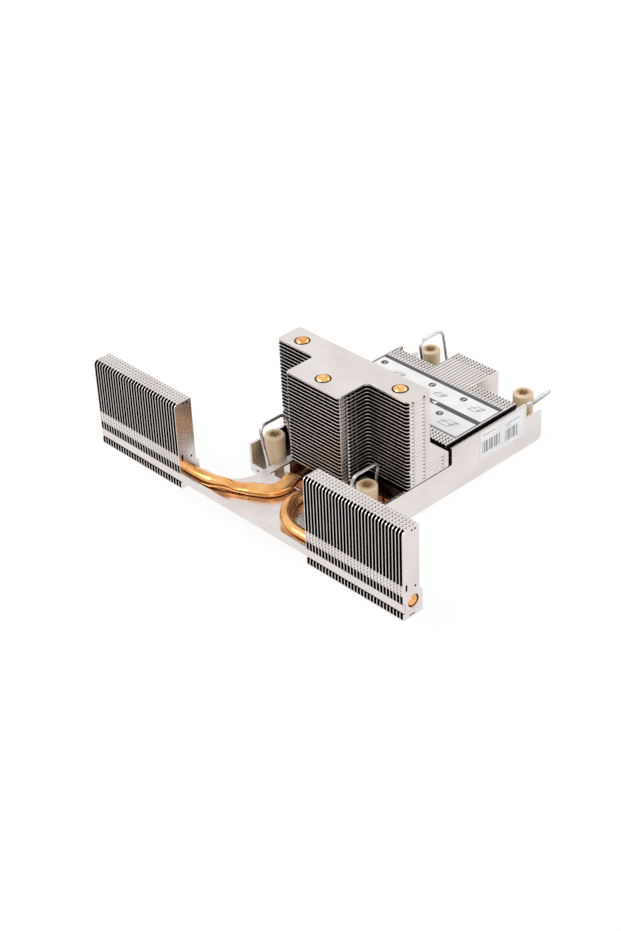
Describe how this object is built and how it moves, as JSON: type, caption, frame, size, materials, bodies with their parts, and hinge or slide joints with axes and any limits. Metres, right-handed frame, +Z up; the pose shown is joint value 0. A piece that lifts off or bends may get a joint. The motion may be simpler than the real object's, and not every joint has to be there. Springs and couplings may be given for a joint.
{
  "type": "passive server cpu heatsink",
  "caption": "Passive server CPU heatsink: plated tray with cold plate, T-shaped fin tower, low rear fin stack, remote wing stacks on heat pipes, captive nuts and wire bails.",
  "frame": {"origin": "middle of the four-nut pattern, on the contact face of the cold plate", "axes": "+X to the right along the wings, +Y from the wings to the rear, +Z up from the contact face"},
  "size_m": [0.1912, 0.1551, 0.0612],
  "materials": {
    "plated_aluminium": "satin",
    "copper": "satin",
    "steel": "satin",
    "tan_plastic": "satin",
    "label": "satin"
  },
  "bodies": {
    "heatsink": {"tray": "plated_aluminium", "cold_plate": "copper", "base_block": "plated_aluminium", "tray_screws": "steel", "tower_fins": "plated_aluminium", "tower_top": "plated_aluminium", "tower_pipe_left": "copper", "tower_pipe_right": "copper", "tower_pipe_front": "copper", "rear_stack": "plated_aluminium", "wing_stack_left": "plated_aluminium", "wing_stack_right": "plated_aluminium", "wing_pipe_left": "copper", "wing_pipe_right": "copper", "rail_bracket": "plated_aluminium", "bracket_screws": "steel", "top_label": "label", "side_label": "label"},
    "nut_front_left": {"nut_front_left": "tan_plastic", "ring_front_left": "steel"},
    "bail_front_left": {"bail_front_left": "steel"},
    "nut_front_right": {"nut_front_right": "tan_plastic", "ring_front_right": "steel"},
    "bail_front_right": {"bail_front_right": "steel"},
    "nut_rear_left": {"nut_rear_left": "tan_plastic", "ring_rear_left": "steel"},
    "bail_rear_left": {"bail_rear_left": "steel"},
    "nut_rear_right": {"nut_rear_right": "tan_plastic", "ring_rear_right": "steel"},
    "bail_rear_right": {"bail_rear_right": "steel"}
  },
  "joints": [
    {"name": "turn_front_left", "type": "hinge", "parent": "heatsink", "child": "nut_front_left", "pos_m": [-0.0288, -0.05025, 0.005], "axis": [0, 0, 1], "continuous": true},
    {"name": "swing_front_left", "type": "hinge", "parent": "heatsink", "child": "bail_front_left", "pos_m": [-0.0245, -0.05025, 0.0074], "axis": [0, -1, 0], "range_deg": [-29, 36]},
    {"name": "turn_front_right", "type": "hinge", "parent": "heatsink", "child": "nut_front_right", "pos_m": [0.0288, -0.05025, 0.005], "axis": [0, 0, 1], "continuous": true},
    {"name": "swing_front_right", "type": "hinge", "parent": "heatsink", "child": "bail_front_right", "pos_m": [0.0245, -0.05025, 0.0074], "axis": [0, 1, 0], "range_deg": [-25, 40]},
    {"name": "turn_rear_left", "type": "hinge", "parent": "heatsink", "child": "nut_rear_left", "pos_m": [-0.0288, 0.05025, 0.005], "axis": [0, 0, 1], "continuous": true},
    {"name": "swing_rear_left", "type": "hinge", "parent": "heatsink", "child": "bail_rear_left", "pos_m": [-0.0245, 0.05025, 0.0074], "axis": [0, -1, 0], "range_deg": [-25, 40]},
    {"name": "turn_rear_right", "type": "hinge", "parent": "heatsink", "child": "nut_rear_right", "pos_m": [0.0288, 0.05025, 0.005], "axis": [0, 0, 1], "continuous": true},
    {"name": "swing_rear_right", "type": "hinge", "parent": "heatsink", "child": "bail_rear_right", "pos_m": [0.0245, 0.05025, 0.0074], "axis": [0, 1, 0], "range_deg": [-57, 8]}
  ]
}
